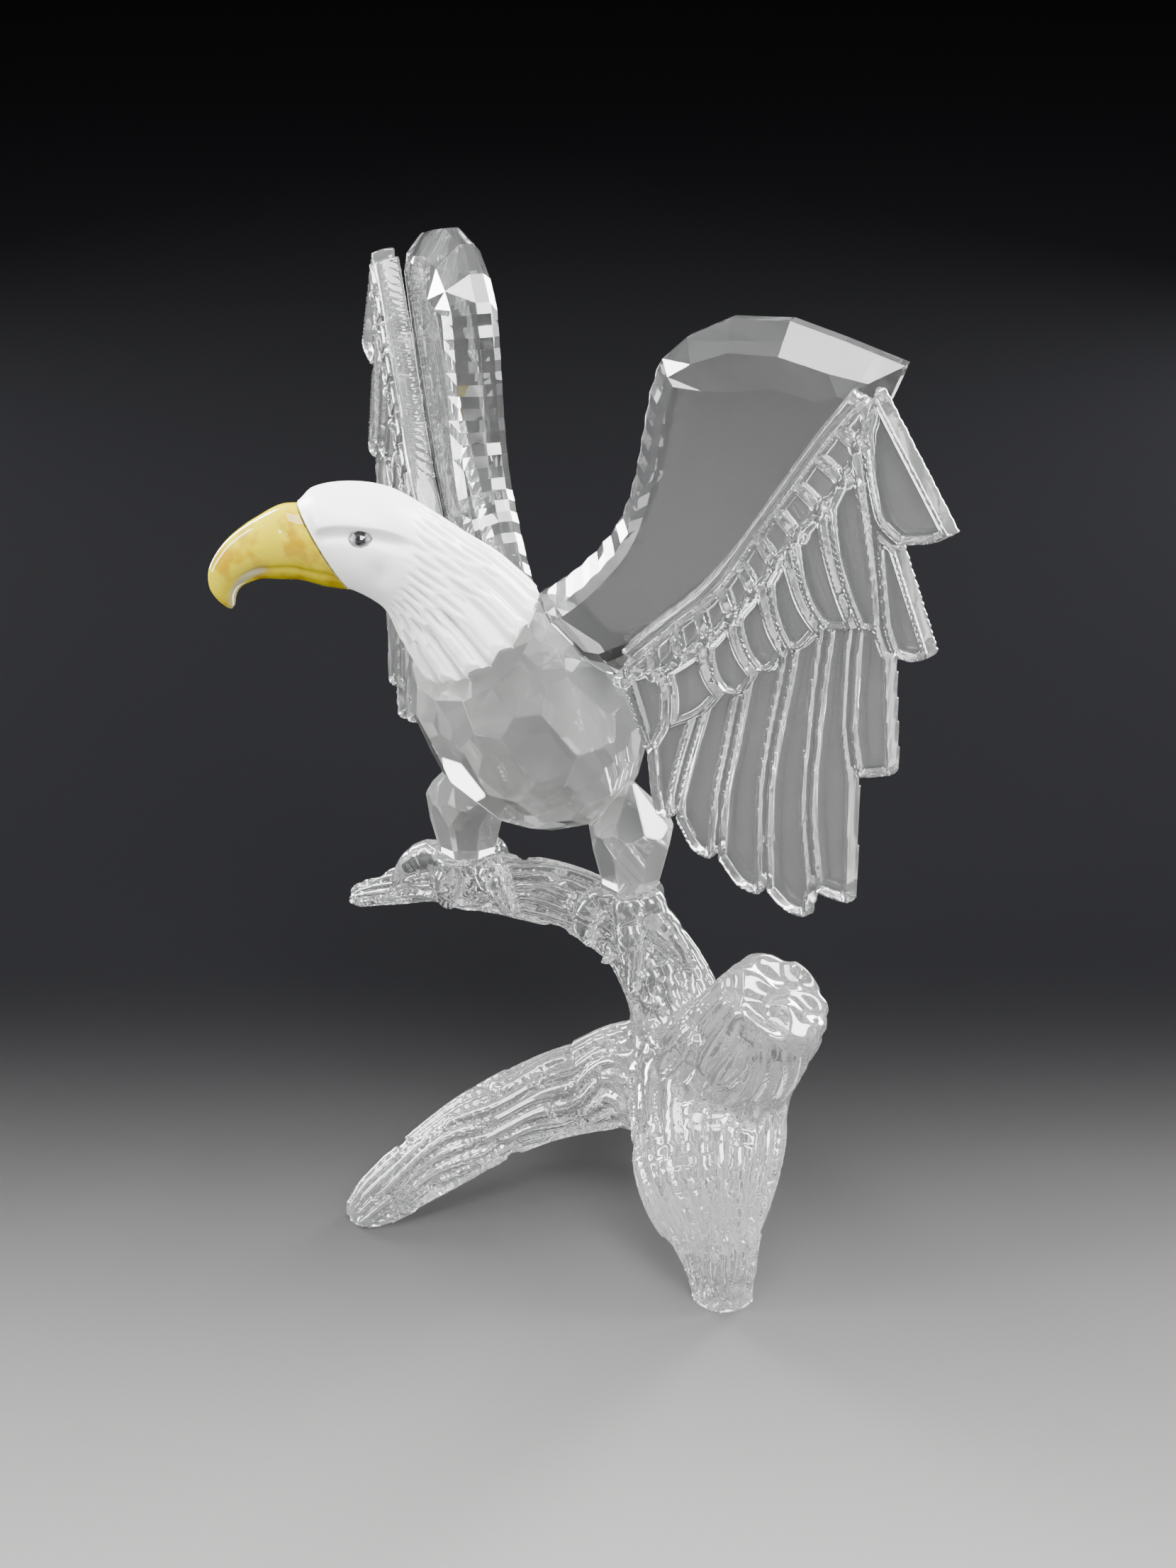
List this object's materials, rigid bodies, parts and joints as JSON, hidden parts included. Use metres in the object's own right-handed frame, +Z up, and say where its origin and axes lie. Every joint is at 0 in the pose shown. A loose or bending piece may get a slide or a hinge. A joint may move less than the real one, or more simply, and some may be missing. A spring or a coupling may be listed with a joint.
{
  "type": "crystal eagle figurine",
  "caption": "Cut and cast crystal eagle with raised wings, a frosted head and a yellow beak, gripping a clear branch with three roots.",
  "frame": {"origin": "middle of the figurine's outer bounds, on the surface that the three root soles rest on", "axes": "+Z up; the bird's chest faces -Y, its left side is +X, and its head is turned 35 degrees toward -X"},
  "size_m": [0.1014, 0.0608, 0.1114],
  "materials": {
    "clear_crystal": "polished",
    "pressed_crystal": "polished",
    "frosted_crystal": "satin",
    "yellow_crystal": "polished",
    "dark_bead": "polished"
  },
  "bodies": {
    "root": {"body": "clear_crystal", "head": "frosted_crystal", "beak": "yellow_crystal", "eye_left": "dark_bead", "eye_right": "dark_bead", "wing_plate_left": "clear_crystal", "wing_plate_right": "clear_crystal", "wing_feathers_left": "pressed_crystal", "wing_feathers_right": "pressed_crystal", "tail": "pressed_crystal", "thigh_left": "clear_crystal", "thigh_right": "clear_crystal", "branch": "clear_crystal"}
  },
  "joints": []
}
